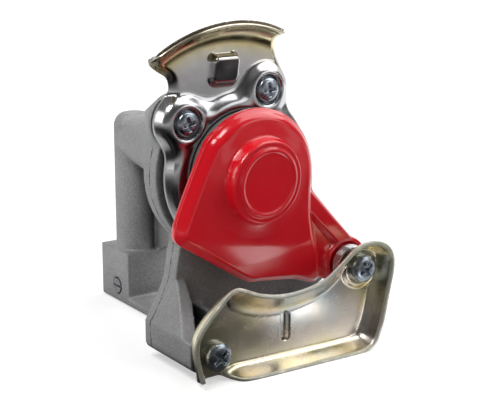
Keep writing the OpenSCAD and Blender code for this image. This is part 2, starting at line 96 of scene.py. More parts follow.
def blank(name):
    """A new material: its tree, its main shader, and the place on the piece in metres."""
    made = bpy.data.materials.new(name)
    made.use_nodes = True
    tree = made.node_tree
    main = tree.nodes["Principled BSDF"]
    place = add(tree, "TexCoord").outputs["Object"]
    return made, tree, main, place


def noise(tree, place, scale, detail=4.0, rough=0.55):
    return add(tree, "TexNoise", Vector=place, Scale=scale, Detail=detail, Roughness=rough).outputs["Fac"]


def ramp(tree, source, *stops):
    """Colours along a value; each stop is a place from 0 to 1 and a colour or grey."""
    node = add(tree, "ValToRGB", Fac=source)
    band = node.color_ramp
    while len(band.elements) < len(stops):
        band.elements.new(0.5)
    for spot, (at, colour) in zip(band.elements, stops):
        spot.position = at
        spot.color = (*colour, 1) if isinstance(colour, tuple) else (colour, colour, colour, 1)
    return node.outputs["Color"]


def maths(tree, how, a, b=0.0):
    node = add(tree, "Math", {"operation": how})
    feed(tree, node.inputs[0], a)
    feed(tree, node.inputs[1], b)
    return node.outputs[0]


def blended(tree, share, a, b, how="MIX"):
    """Two colours mixed by a share that changes over the surface."""
    node = add(tree, "Mix", {"data_type": "RGBA", "blend_type": how})
    share_input, first_colour, second_colour = node.inputs[0], node.inputs[6], node.inputs[7]
    feed(tree, share_input, share)
    feed(tree, first_colour, a)
    feed(tree, second_colour, b)
    return node.outputs[2]


def raised(tree, height, strength, depth, under=None):
    """A bumped normal, on top of another one if that is given."""
    node = add(tree, "Bump", Height=height, Strength=strength, Distance=depth)
    if under:
        feed(tree, node.inputs["Normal"], under)
    return node.outputs["Normal"]


def softened(node, name, voxel, rounds, share):
    """A copy of a solid whose edges are rounded off, as a new piece."""
    mesh = frame["nodes"][node].data.copy()
    shape = bmesh.new()
    shape.from_mesh(mesh)
    bmesh.ops.remove_doubles(shape, verts=shape.verts, dist=1e-6)
    shape.to_mesh(mesh)
    shape.free()
    mesh.materials.clear()
    rough = bpy.data.objects.new(name, mesh)
    bpy.context.scene.collection.objects.link(rough)
    remesh = rough.modifiers.new("skin", "REMESH")
    remesh.mode = "VOXEL"
    remesh.voxel_size = voxel
    smooth = rough.modifiers.new("round", "SMOOTH")
    smooth.factor = 0.5
    smooth.iterations = rounds
    thin = rough.modifiers.new("thin", "DECIMATE")
    thin.ratio = share
    ready = rough.evaluated_get(bpy.context.evaluated_depsgraph_get())
    rough.data = bpy.data.meshes.new_from_object(ready)
    rough.modifiers.clear()
    rough.data.polygons.foreach_set("use_smooth", [True] * len(rough.data.polygons))
    return rough


seam_y = -0.0778
seam_wander = 0.0022
painted_recess_shade = (0.02, 0.02, 0.022)
cast, tree, main, place = blank("cast_grey")
patches = noise(tree, place, 38, 5)
grain = noise(tree, place, 1500, 3, 0.7)
pits = noise(tree, place, 520, 2, 0.6)
tone = ramp(tree, patches, (0.3, (0.34, 0.342, 0.346)), (0.75, (0.48, 0.48, 0.48)))
tone = blended(tree, 0.55, tone, ramp(tree, grain, (0.3, 0.22), (0.7, 1.0)), "MULTIPLY")
axes = add(tree, "SeparateXYZ", Vector=place)
facing = add(tree, "SeparateXYZ", Vector=add(tree, "NewGeometry").outputs["Normal"])
wander = maths(tree, "MULTIPLY", maths(tree, "SUBTRACT", noise(tree, place, 160, 3), 0.5), seam_wander)
off_seam = maths(tree, "ADD", maths(tree, "SUBTRACT", axes.outputs["Y"], seam_y), wander)
off_seam_mm = maths(tree, "MULTIPLY", maths(tree, "ABSOLUTE", off_seam), 1000.0)
rim_only = ramp(tree, maths(tree, "ABSOLUTE", facing.outputs["Y"]), (0.3, 1.0), (0.6, 0.0))
broken = ramp(tree, noise(tree, place, 300, 2), (0.38, 0.15), (0.55, 1.0))
seam = maths(tree, "MULTIPLY", ramp(tree, off_seam_mm, (0.16, 1.0), (0.5, 0.0)), rim_only)
seam = maths(tree, "MULTIPLY", seam, broken)
tone = blended(tree, seam, tone, (0.035, 0.035, 0.037))
# Painted shade: an ambient-occlusion mask blends the grey towards near-black in recesses, corners and under
# parts.
hollow = add(tree, "AmbientOcclusion", {"samples": 8}, Distance=0.035).outputs["AO"]
tone = blended(tree, ramp(tree, hollow, (0.18, 0.95), (0.70, 0.0)), tone, painted_recess_shade)
normal = raised(tree, grain, 0.45, 0.0005)
normal = raised(tree, pits, 0.32, 0.0009, normal)
normal = raised(tree, seam, 0.5, 0.0006, normal)
dress(tree, main, Base_Color=tone, Metallic=0.35, Normal=normal,
      Roughness=ramp(tree, patches, (0.2, 0.52), (0.8, 0.66)))

# The tube ends above the elbow in a flat round top with a rounded shoulder.
tube_r = 0.0096
top_flat_r = 0.0046
top_round_r = 0.0051
top_start_z = 0.0830
top_rise = 0.0072
top_stretch = 1.55
bell_end_y = -0.005
elbow_z = 0.080
housing = softened("housing", "housing_casting", voxel=0.0006, rounds=4, share=0.42)
shell = np.empty(len(housing.data.vertices) * 3)
housing.data.vertices.foreach_get("co", shell)
shell = shell.reshape(-1, 3)
from_axis = np.maximum(np.hypot(shell[:, 0], shell[:, 1]), 1e-6)
at_top = (from_axis < tube_r + 0.0002) & (shell[:, 1] > bell_end_y) & (shell[:, 2] > elbow_z)
shell[at_top, :2] *= np.clip(tube_r / from_axis, 1, top_stretch)[at_top, None]
from_axis = np.hypot(shell[:, 0], shell[:, 1])
past_flat = np.clip(from_axis - top_flat_r, 0, None) / top_round_r
shoulder = top_start_z + top_rise * np.sqrt(np.clip(1 - past_flat ** 2, 0, 1))
shell[at_top, 2] = np.minimum(shell[:, 2], shoulder)[at_top]
housing.data.vertices.foreach_set("co", shell.ravel())
housing.data.materials.append(cast)
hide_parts("housing")
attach(housing, "base")

# Side plug: a slotted screw plug of dull, grimy steel. It closes the small hole in the side of the
# port block and is screwed down on an O-ring.


def mottled(name, dark, light, speck, metal, shine, grain, patch=500, detail=4):
    """A finish of two tones in specks.

    shine is the least and the most roughness, which changes on the scale of patch, and grain holds
    the bump's scale, strength and depth."""
    made, tree, main, place = blank(name)
    tone = ramp(tree, noise(tree, place, speck, detail), (0.3, dark), (0.7, light))
    dull = ramp(tree, noise(tree, place, patch, 3), (0.3, shine[0]), (0.7, shine[1]))
    scale, strength, depth = grain
    fine = raised(tree, noise(tree, place, scale, 3), strength, depth)
    dress(tree, main, Base_Color=tone, Metallic=metal, Roughness=dull, Normal=fine)
    return made


def finished(finish, *nodes):
    """Gives solids that keep their shape a finish."""
    for node in nodes:
        mesh = frame["nodes"][node].data
        mesh.materials.clear()
        mesh.materials.append(finish)


plug_steel = mottled("plug_steel", (0.13, 0.13, 0.14), (0.26, 0.26, 0.27), 700, 0.6, (0.45, 0.6),
                     (1500, 0.3, 0.0003))
finished(plug_steel, "side_plug")

# Valve: an aluminium plunger that slides in a turned brass seat, which is pressed into the chamber and
# kept there by a spring ring. A coil of drawn wire behind the plunger closes it; in use it grows shorter
# as the other coupler pushes the plunger in, but here it keeps one length.
brass = mottled("turned_brass", (0.55, 0.40, 0.16), (0.70, 0.54, 0.26), 200, 1.0, (0.3, 0.3),
                (1800, 0.08, 0.0002))
spring_wire = mottled("spring_wire", (0.55, 0.55, 0.56), (0.70, 0.70, 0.70), 400, 1.0, (0.25, 0.25),
                      (2000, 0.1, 0.0002))
finished(brass, "seat_bush")
finished(cast, "valve_plunger")
finished(spring_wire, "retaining_ring")

joints = {joint["name"]: joint for joint in frame["record"]["behaviour"]["joints"]}
coil = bpy.data.objects.new("valve_coil", frame["nodes"]["valve_spring"].data.copy())
bpy.context.scene.collection.objects.link(coil)
coil.data.materials.clear()
coil.data.materials.append(spring_wire)
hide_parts("valve_spring")
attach(coil, "base")
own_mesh(coil)

# Seals: black moulded rubber, slightly dusty. The large ring is the face that meets the other coupler;
# the plunger's washer and the two O-rings lie inside.
rubber = mottled("dusty_rubber", (0.012, 0.012, 0.013), (0.03, 0.03, 0.03), 250, 0.0, (0.5, 0.7),
                 (1600, 0.15, 0.0002), patch=90, detail=5)
finished(rubber, "sealing_ring", "seat_seal", "plunger_seal", "plug_seal")

# Guide plate: deep-drawn sheet steel, zinc plated with a faint yellow film; the pink and gold bands
# of its tint over the lip's curl are a painted reflection. Two ears and the ring stand forward of the
# neck, the top edge curls forward as the lip, and a square bump is pushed out of the neck. Held to
# the flange by the two ear screws.


def smooth_step(low, high, value):
    share = np.clip((value - low) / (high - low), 0, 1)
    return share * share * (3 - 2 * share)


def joined(a, b, soft):
    """Union of two signed distances, with a fillet where they meet."""
    share = np.clip(0.5 + 0.5 * (a - b) / soft, 0, 1)
    return b + (a - b) * share + soft * share * (1 - share)


def distance(places, centre):
    return np.hypot(*(places - centre).T)


def curve(points, steps=8):
    """A smooth line through points, closed; every point may carry further values."""
    knots = np.array(points, float)
    a = np.roll(knots, 1, 0)[:, None, :]
    b = knots[:, None, :]
    c = np.roll(knots, -1, 0)[:, None, :]
    d = np.roll(knots, -2, 0)[:, None, :]
    share = np.linspace(0, 1, steps, endpoint=False)[None, :, None]
    line = 0.5 * (2 * b + (c - a) * share + (2 * a - 5 * b + 4 * c - d) * share ** 2
                  + (3 * b - a - 3 * c + d) * share ** 3)
    return line.reshape(-1, knots.shape[1])


def inside(places, line):
    """Signed distance to a closed line, positive inside, and the line's further values nearby."""
    nearest = np.full(len(places), 1e9)
    crossings = np.zeros(len(places))
    values = np.zeros((len(places), line.shape[1] - 2))
    for a, b in zip(line, np.roll(line, -1, 0)):
        way = b[:2] - a[:2]
        share = np.clip(((places - a[:2]) @ way) / (way @ way + 1e-12), 0, 1)
        off = np.hypot(*(places - a[:2] - share[:, None] * way).T)
        closer = off < nearest
        nearest[closer] = off[closer]
        values[closer] = (a[2:] + share[:, None] * (b[2:] - a[2:]))[closer]
        spans = (a[1] > places[:, 1]) != (b[1] > places[:, 1])
        climb = way[1] if abs(way[1]) > 1e-9 else 1e-9
        reach = a[0] + (places[:, 1] - a[1]) * way[0] / climb
        crossings += spans & (places[:, 0] < reach)
    return np.where(crossings % 2 == 1, nearest, -nearest), values


def steepness(region, places, step=0.05):
    """The slope of a region's signed distance, across and up."""
    shifts = ((step, 0), (0, step))
    return np.stack([region(places + shift) - region(places - shift) for shift in shifts], 1) / (2 * step)


seal_centre = next(np.array(mount["pos_m"]) for mount in frame["record"]["mounts"]
                   if mount["name"] == "coupling_face")


def pressed(name, region, front, rear, box, pitch, edge=0.45):
    """A plate over a region of the plane: a front and a rear skin and a rounded edge between them.

    Places are millimetres from the sealing centre, across and up; region is positive inside. box is
    its left, lower, right and upper limit, pitch the mesh's spacing, and edge the edge's radius."""
    across = np.arange(box[0], box[2] + pitch, pitch)
    above = np.arange(box[1], box[3] + pitch, pitch * 0.866)
    grid = np.array([[x + (row % 2) * pitch / 2, z] for row, z in enumerate(above) for x in across])
    wide = len(across)
    level = region(grid) - edge
    near = np.abs(level) < 0.3 * pitch
    slope = steepness(region, grid[near])
    grid[near] -= slope * (level[near] / np.maximum((slope ** 2).sum(1), 0.2))[:, None]
    level[near] = 0
    triangles = []
    for row in range(len(above) - 1):
        for column in range(wide - 1):
            a = row * wide + column
            b = a + 1
            c = a + wide
            d = b + wide
            triangles += [(a, b, d), (a, d, c)] if row % 2 else [(a, b, c), (b, d, c)]
    points = []
    numbers = {}

    def corner(a, b):
        """The number of the point where the border crosses from a to b, or of a itself."""
        low, high = min(a, b), max(a, b)
        if (low, high) not in numbers:
            numbers[low, high] = len(points)
            share = 0 if a == b else level[low] / (level[low] - level[high])
            points.append(grid[low] + share * (grid[high] - grid[low]))
        return numbers[low, high]

    faces = []
    for corners in triangles:
        if max(level[list(corners)]) > 0:
            shape = []
            for a, b in zip(corners, corners[1:] + corners[:1]):
                if level[a] >= 0:
                    shape.append(corner(a, a))
                if level[a] * level[b] < 0:
                    shape.append(corner(a, b))
            faces.append(shape)
    ways = {way for face in faces for way in zip(face, face[1:] + face[:1])}
    rim = sorted(way for way in ways if way[::-1] not in ways)
    points = np.array(points)
    border = sorted({spot for pair in rim for spot in pair})
    order = {spot: number for number, spot in enumerate(border)}
    edges = points[border]
    slope = steepness(region, edges)
    outward = -slope / (np.linalg.norm(slope, axis=1, keepdims=True) + 1e-9)
    thick = np.linalg.norm(rear(edges) - front(edges), axis=1, keepdims=True)
    rows = []
    for turn in np.radians((30, 60, 90, 90, 120, 150)):
        deep = edge * (1 - math.cos(turn))
        place = edges + outward * edge * math.sin(turn)
        if len(rows) < 3:
            share = np.minimum(deep / thick, 0.5)
        else:
            share = np.maximum(1 - (2 * edge - deep) / thick, 0.5)
        rows.append(front(place) * (1 - share) + rear(place) * share)
    count = len(points)
    ring = len(border)
    skins = np.concatenate([front(points), rear(points)] + rows)
    quads = [tuple(face) for face in faces]
    quads += [tuple(spot + count for spot in reversed(face)) for face in faces]
    layers = [np.array(border)]
    layers += [2 * count + ring * row + np.arange(ring) for row in range(len(rows))]
    layers.append(np.array(border) + count)
    for start, end in rim:
        a, b = order[start], order[end]
        for upper, lower in zip(layers, layers[1:]):
            quads.append((upper[b], upper[a], lower[a], lower[b]))
    mesh = bpy.data.meshes.new(name)
    skins = skins / 1000 + seal_centre
    mesh.from_pydata(skins.tolist(), [], [tuple(int(spot) for spot in quad) for quad in quads])
    mesh.polygons.foreach_set("use_smooth", [True] * len(mesh.polygons))
    sheared = mesh.attributes.new("cut", "FLOAT", "POINT")
    sheared.data.foreach_set("value", [0.0] * (2 * count) + [1.0] * (len(skins) - 2 * count))
    made = bpy.data.objects.new(name, mesh)
    bpy.context.scene.collection.objects.link(made)
    shape = bmesh.new()
    shape.from_mesh(mesh)
    bmesh.ops.recalc_face_normals(shape, faces=shape.faces)
    shape.to_mesh(mesh)
    shape.free()
    return made


def sheet_rear(front, thick, step=0.05):
    """The rear skin of a sheet: every place of the front moved by the thickness along the normal."""
    def rear(places):
        across = front(places + (step, 0)) - front(places - (step, 0))
        above = front(places + (0, step)) - front(places - (0, step))
        normal = np.cross(above, across)
        normal /= np.linalg.norm(normal, axis=1, keepdims=True) + 1e-12
        return front(places) + normal * thick
    return rear


# Sizes of sheets and screws are in millimetres. A pair says where a wall or a fade starts and ends.
guide_sheet_t = 2.1
guide_box = (-52, -37, 40, 72)
guide_pitch = 0.62
ring_deep = 5
ring_r = 33.4
ring_bore_r = 26.6
ear_r = 11.0
ear_blend = 7.0
ear_hole_r = 2.8
ear_circle_r = 35.4
ears = [ear_circle_r * np.array([math.cos(turn), math.sin(turn)]) for turn in np.radians((139.7, 70.7))]
fold_r = 2.2
fold_end = 2.125
skirt_slope = 2.9
skirt_length = 1.6
edge_drop = 1.2
edge_drop_width = 6.0
neck_step = 2.0
neck_fade = (-1.5, 3.5)
seat_deep = 2.0
seat_wall = (6.7, 5.5)
ear_ridge_h = 0.3
ear_ridge_r = 7.9
ear_ridge_width = 1.3
bump_middle = np.array([-8.6, 43.4])
bump_flat = np.array([3.4, 3.0])
bump_corner_r = 3.1
bump_wall = (-1.0, 1.2)
bump_rise = 3.6
bump_lean = 0.2
lance_side = (4.9, 3.9)
lance_start = (4.4, 4.9)
lance_end = (5.75, 5.45)
lance_share = 0.8
lip_middle = np.array([-6.0, -2.0])
lip_start_r = 55.5
lip_bend_r = 7.3
lip_sweep = 1.30
neck_line = curve([
    (-31, 18), (-32.6, 30), (-32.4, 37), (-33.6, 41), (-38, 44), (-42.4, 47.4), (-43.6, 50.5), (-40.5, 55.8),
    (-24, 65.4), (-6, 68.4), (8, 66.4), (19.6, 61.2), (20.0, 57.4), (18.0, 52.6), (19.6, 47), (22.0, 41),
    (22.6, 33), (14, 20)])


def raised_part(places):
    """Signed distance to the ring and the ears together."""
    rings = ring_r - np.hypot(*places.T)
    for ear in ears:
        rings = joined(rings, ear_r - distance(places, ear), ear_blend)
    return rings


def guide_region(places):
    whole = joined(raised_part(places) + 1.5, inside(places, neck_line)[0], 3.0)
    whole = np.minimum(whole, np.hypot(*places.T) - ring_bore_r)
    for ear in ears:
        whole = np.minimum(whole, distance(places, ear) - ear_hole_r)
    return whole


def bump_height(places):
    """The square bump as a share of its rise, lanced open along its top edge."""
    square = np.abs(places - bump_middle)
    above = places[:, 1] - bump_middle[1]
    within = bump_corner_r - np.hypot(*np.maximum(square - bump_flat, 0).T)
    pushed = smooth_step(*bump_wall, within)
    lanced = smooth_step(*lance_side, square[:, 0]) * smooth_step(*lance_start, above)
    return pushed * (1 - lanced) + smooth_step(*lance_end, above) * lance_share * lanced


def guide_front(places):
    rings = raised_part(places)
    neck = smooth_step(*neck_fade, inside(places, neck_line)[0])
    over = np.clip(fold_r - rings, 0, None)
    arc = np.clip(over, 0, fold_end)
    crown = edge_drop * np.clip(1 - rings / edge_drop_width, 0, 1) ** 2
    skirt = fold_r - np.sqrt(fold_r ** 2 - arc ** 2) + skirt_slope * np.clip(over - fold_end, 0, skirt_length)
    step = neck_step * smooth_step(4.0, -1.8, rings)
    deep = ring_deep + crown + skirt * (1 - neck) + step * neck
    for ear in ears:
        away = distance(places, ear)
        ridge = ear_ridge_h * np.exp(-((away - ear_ridge_r) / ear_ridge_width) ** 2)
        deep = deep + seat_deep * smooth_step(*seat_wall, away) - ridge
    deep = deep - (bump_rise + bump_lean * (places[:, 1] - bump_middle[1])) * bump_height(places)
    away = distance(places, lip_middle)
    along = np.clip(away - lip_start_r, 0, None)
    angle = np.clip(along / lip_bend_r, 0, lip_sweep)
    straight = np.clip(along - lip_bend_r * lip_sweep, 0, None)
    radius = np.minimum(away, lip_start_r) + lip_bend_r * np.sin(angle) + straight * math.cos(lip_sweep)
    forward = lip_bend_r * (1 - np.cos(angle)) + straight * math.sin(lip_sweep)
    flat = lip_middle + (places - lip_middle) * (radius / away)[:, None]
    return np.stack([flat[:, 0], deep - forward, flat[:, 1]], 1)


def plated(tree, main, place, film, shine):
    """Bright plated sheet: mirror-like with faint waves, and pale rough cut edges."""
    cut = add(tree, "Attribute", {"attribute_name": "cut"}).outputs["Fac"]
    worn = maths(tree, "MULTIPLY", cut, ramp(tree, noise(tree, place, 260, 4), (0.3, 0.35), (0.55, 0.8)))
    dull = ramp(tree, noise(tree, place, 120, 2), (0.3, shine), (0.75, shine + 0.1))
    waves = raised(tree, noise(tree, place, 70, 2), 0.12, 0.001)
    dress(tree, main, Base_Color=blended(tree, worn, film, (0.30, 0.31, 0.28)),
          Metallic=maths(tree, "SUBTRACT", 1.0, maths(tree, "MULTIPLY", worn, 0.5)),
          Roughness=maths(tree, "ADD", dull, maths(tree, "MULTIPLY", worn, 0.35)),
          Normal=raised(tree, noise(tree, place, 900, 2), 0.02, 0.0002, waves))


guide_zinc, tree, main, place = blank("guide_zinc")
clouds = noise(tree, place, 22, 4)
axes = add(tree, "SeparateXYZ", Vector=place)
lip_x = lip_middle[0] / 1000 + seal_centre[0]
lip_z = lip_middle[1] / 1000 + seal_centre[2]
out = maths(tree, "SUBTRACT", axes.outputs["X"], lip_x)
rise = maths(tree, "SUBTRACT", axes.outputs["Z"], lip_z)
reach = maths(tree, "ADD", maths(tree, "MULTIPLY", out, out), maths(tree, "MULTIPLY", rise, rise))
reach = maths(tree, "MULTIPLY", maths(tree, "SQRT", reach), 10.0)
reach = maths(tree, "ADD", reach, maths(tree, "MULTIPLY", clouds, 0.12))
# Painted reflection: the tint is grey up to the lip, then turns pink and gold in bands over the lip's curl,
# by distance from the lip's centre.
film = ramp(tree, reach, (0.47, (0.52, 0.52, 0.53)), (0.54, (0.58, 0.55, 0.55)), (0.585, (0.62, 0.58, 0.46)),
            (0.62, (0.64, 0.52, 0.26)), (0.66, (0.56, 0.52, 0.36)), (0.70, (0.56, 0.50, 0.42)))
plated(tree, main, place, film, 0.16)

guide_rear = sheet_rear(guide_front, guide_sheet_t)
guide = pressed("guide_sheet", guide_region, guide_front, guide_rear, guide_box, guide_pitch)
guide.data.materials.append(guide_zinc)
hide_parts("guide_plate")
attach(guide, "base")

# Ear screws: two small pan-head screws with a cross recess, cold-headed steel, zinc plated with a
# bluish tone. They go through the ears into the flange, each head in a pressed seat.
screw_zinc = mottled("screw_zinc", (0.30, 0.34, 0.39), (0.46, 0.50, 0.55), 300, 1.0, (0.2, 0.36),
                     (1500, 0.08, 0.0002))


def pan_screw(name, at, sizes, under, length, turn):
    """A pan head with a flat crown, a cross recess with sloping walls, and its shank.

    sizes are the head's radius and height and the shank's radius, under is how deep the head's
    underside lies, length is the shank's, and turn is the cross's angle."""
    head, height, shank = sizes
    cosine = math.cos(math.radians(turn))
    sine = math.sin(math.radians(turn))
    edge_share = 0.42
    slot_half = 0.12 * head
    slot_reach = 0.58 * head
    slot_middle_r = 0.22 * head
    slot_wall = 0.05 * head
    slot_depth = 0.34 * height
    slot_more = 0.26 * height

    def head_region(places):
        return head - distance(places, at)

    def head_front(places):
        x, z = (places - at).T
        away = np.hypot(x, z)
        rounded = np.clip(1 - (away / (head * 1.02)) ** 4.0, 0, 1) ** 0.5
        crown = height * (edge_share + (1 - edge_share) * rounded)
        across = np.abs(cosine * x + sine * z)
        along = np.abs(-sine * x + cosine * z)
        arm = np.maximum(np.minimum(across, along) - slot_half, np.maximum(across, along) - slot_reach)
        recess = smooth_step(slot_wall, -slot_wall, np.minimum(arm, away - slot_middle_r))
        crown = crown - recess * (slot_depth + slot_more * smooth_step(0.6 * head, 0.1 * head, away))
        return np.stack([places[:, 0], under - crown, places[:, 1]], 1)

    def head_rear(places):
        deep = under + np.where(distance(places, at) < shank, float(length), 0.0)
        return np.stack([places[:, 0], deep, places[:, 1]], 1)

    reach = head + 1
    box = (at[0] - reach, at[1] - reach, at[0] + reach, at[1] + reach)
    return pressed(name, head_region, head_front, head_rear, box, pitch=0.16, edge=0.3)


ear_screw_sizes = (5.0, 3.0, 2.5)
ear_screw_length = 16
seat_y = ring_deep + seat_deep
left_ear = pan_screw("ear_screw_left", ears[0], ear_screw_sizes, seat_y, ear_screw_length, 12)
right_ear = pan_screw("ear_screw_right", ears[1], ear_screw_sizes, seat_y, ear_screw_length, 4)
both = bmesh.new()
both.from_mesh(left_ear.data)
both.from_mesh(right_ear.data)
both.to_mesh(left_ear.data)
both.free()
bpy.data.objects.remove(right_ear)
left_ear.data.materials.append(screw_zinc)
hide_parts("ear_screws")
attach(left_ear, "base")

# Cap: injection-moulded glossy red plastic. Round cup with a leaning boss, a wing at the left and
# below, and an arm to the hub. It swings on the pivot bush and the spring holds it shut.
cap_red, tree, main, place = blank("cap_red")
tone = ramp(tree, noise(tree, place, 30, 4), (0.3, (0.58, 0.004, 0.012)), (0.7, (0.68, 0.006, 0.016)))
dull = ramp(tree, noise(tree, place, 90, 4), (0.3, 0.14), (0.7, 0.22))
waves = raised(tree, noise(tree, place, 60, 2), 0.06, 0.001)
fine = raised(tree, noise(tree, place, 1800, 3), 0.02, 0.0002, waves)
dress(tree, main, Base_Color=tone, Roughness=dull, Coat_Weight=0.45, Coat_Roughness=0.06, Normal=fine)

pivot = ((np.array(joints["cap_swing"]["pos_m"]) - seal_centre) * 1000)[[0, 2]]
pivot_bore_r = 5.56
cap_box = (-42, -58, 60, 31)
hub_r = 11.0
hub_ring_r = 10.2
cup_r = 28.0
flange_h = 2.7
flange_round = 2.2
flange_slope = 0.85
plateau_h = 7.0
facet_start = np.array([-36.0, -21.0])
facet_way = np.array([0.172, 0.985])
facet_slope = 0.12
dome_r = 26.8
dome_edge_h = 6.4
dome_rise = 2.6
cap_wall = 2.2
cap_skirt = (1.7, 2.4)
cap_open_y = -0.5
inner_ring_inner = (13.8, 14.2)
inner_ring_outer = (16.4, 16.0)
hub_reach = 11.2
hub_floor_h = 3.9
hub_ring_rise = 1.5
hub_ring_inner = (8.6, 9.1)
hub_ring_outer = (11.3, 10.4)
hub_rear_y = 5.7
boss_drop = 1
boss_foot_r = 18.3
boss_shoulder_r = 16.7
boss_rim_r = 14.6
boss_dish_r = 12.9
boss_step = 0.6
boss_rim_rise = 0.9
boss_dish_depth = 0.35
boss_top_h = 12.1
boss_lean = 0.0875
boss_lean_way = np.array([0.73, -0.69])
arm_start = np.array([20.5, -8.0])
arm_end = np.array([47.2, -36.6])
arm_h = 3.7
arm_rib_half = 3.9
arm_rib_foot_h = 3.6
arm_rib_rise = 2.3
arm_rib_wall = (-0.9, 1.5)
wing_line = curve([
    (-19.5, 19.5), (-26.4, 11.2), (-32.4, -1.0), (-37.6, -13.2), (-38.9, -18.6), (-38.5, -21.4),
    (-36.6, -23.6), (-31, -27.2), (-17, -36.2), (-6.8, -42.6), (-2.4, -44.4), (3, -44.8), (18, -46.5),
    (32, -48), (28, -20), (25, 4), (0, 18)], 6)
arm_line = curve([
    (14, 0), (22.5, -4.6), (26.4, -7.4), (39, -21.6), (50.6, -34.4), (53.8, -38.4), (55.4, -42.6),
    (53.6, -49.8), (47.5, -53.9), (43.6, -53.8), (32, -48), (12, -40)], 6)


def cap_body(places):
    """Signed distance to the round cup and the wing together."""
    return joined(cup_r - np.hypot(*places.T), inside(places, wing_line)[0], 2.0)


def cap_region(places):
    from_pivot = distance(places, pivot)
    whole = joined(cap_body(places), inside(places, arm_line)[0], 1.5)
    whole = joined(whole, hub_r - from_pivot, 1.0)
    return np.minimum(whole, from_pivot - pivot_bore_r)


def lower(a, b, soft):
    return -joined(-a, -b, soft)


def rolled_edge(within, rise, start):
    """Height of a moulded edge: a rounded step up from the flange, then a steep slope."""
    rounded = np.sqrt(np.clip(within, 0, flange_round) / flange_round)
    return flange_h + rise * rounded + flange_slope * np.clip(within - start, 0, 9)


def cap_height(places):
    """How far the cap's outside stands before the sealing plane."""
    x, z = places.T
    away = np.hypot(x, z)
    body = cap_body(places)
    below = (places - facet_start) @ facet_way
    plateau = lower(np.full(len(places), plateau_h), plateau_h + facet_slope * below, 0.2)
    plateau = lower(plateau, rolled_edge(body, 2.0, 1.0), 0.7)
    dome = dome_edge_h + dome_rise * np.clip(1 - (away / dome_r) ** 2, -1, 1)
    height = joined(plateau, lower(dome, rolled_edge(cup_r - away, 2.2, 1.0), 0.5), 0.5)
    height = np.where(body < -2, 3.0, height)
    arm = inside(places, arm_line)[0]
    height = joined(height, np.where(arm > -1, arm_h, 0.0), 0.4)
    way = arm_end - arm_start
    share = np.clip((places - arm_start) @ way / (way @ way), 0, 1)
    rib = arm_rib_half - distance(places, arm_start + share[:, None] * way)
    height = np.maximum(height, arm_rib_foot_h + arm_rib_rise * smooth_step(*arm_rib_wall, rib))
    from_pivot = distance(places, pivot)
    hub_ring = smooth_step(*hub_ring_inner, from_pivot) * smooth_step(*hub_ring_outer, from_pivot)
    hub = np.maximum(np.where(from_pivot < hub_ring_r, 0, height), hub_floor_h + hub_ring_rise * hub_ring)
    height = np.where(from_pivot < hub_reach, hub, height)
    boss = np.hypot(x, z + boss_drop)
    boss_top = boss_top_h - boss_lean * (places @ boss_lean_way)
    height = height + (boss_top - height) * smooth_step(boss_foot_r, boss_shoulder_r, boss)
    rim = boss_rim_rise * smooth_step(boss_rim_r, boss_rim_r - boss_step, boss)
    return height + rim - boss_dish_depth * smooth_step(boss_dish_r, boss_dish_r - boss_step, boss)


def cap_front(places):
    return np.stack([places[:, 0], -cap_height(places), places[:, 1]], 1)


def cap_rear(places):
    from_pivot = distance(places, pivot)
    within = np.minimum(cap_region(places), from_pivot - hub_ring_r)
    away = np.hypot(*places.T)
    hollow = np.clip(cap_height(places) - cap_wall, 0.5, None)
    inner_ring = smooth_step(*inner_ring_inner, away) * smooth_step(*inner_ring_outer, away)
    open_share = smooth_step(*cap_skirt, within) * (1 - inner_ring)
    deep = cap_open_y - (hollow - 0.5) * open_share
    deep = np.where(from_pivot < hub_ring_r, hub_rear_y, deep)
    return np.stack([places[:, 0], deep, places[:, 1]], 1)


cap = pressed("cap_moulding", cap_region, cap_front, cap_rear, cap_box, pitch=0.5, edge=0.5)
cap.data.materials.append(cap_red)
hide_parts("cap")
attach(cap, "cover")

# Pivot bush and cap spring: a plated steel sleeve that the cap turns on, and a coil of spring wire round
# it. Both sit on the pivot screw between the housing and the claw plate.
finished(screw_zinc, "pivot_bush")
finished(spring_wire, "cap_spring")

# Claw plate: pressed sheet tray with a flared rim all round and one groove rib, zinc plated with a
# stronger yellow film. Held by one screw in the foot and by the pivot screw.
claw_zinc, tree, main, place = blank("claw_zinc")
film = ramp(tree, noise(tree, place, 26, 2), (0.25, (0.60, 0.60, 0.54)), (0.45, (0.74, 0.67, 0.45)),
            (0.58, (0.76, 0.67, 0.58)), (0.75, (0.54, 0.62, 0.64)))
plated(tree, main, place, film, 0.20)

claw_sheet_t = 2.0
claw_box = (-44, -82, 62, -28)
claw_y = -13.5
claw_hole_r = 3.3
pivot_seat_h = 1.6
pivot_seat_wall = (9.8, 7.6)
wide_flare = 6
wide_flare_curl = 1.7
flare_curl = 2.0
rib_middle = np.array([7.6, -62.4])
rib_half_length = 4.2
rib_half_width = 2.1
rib_depth = 2.5
rib_wall = (-0.25, 0.75)
foot_screw = np.array([-26.5, -68.4])
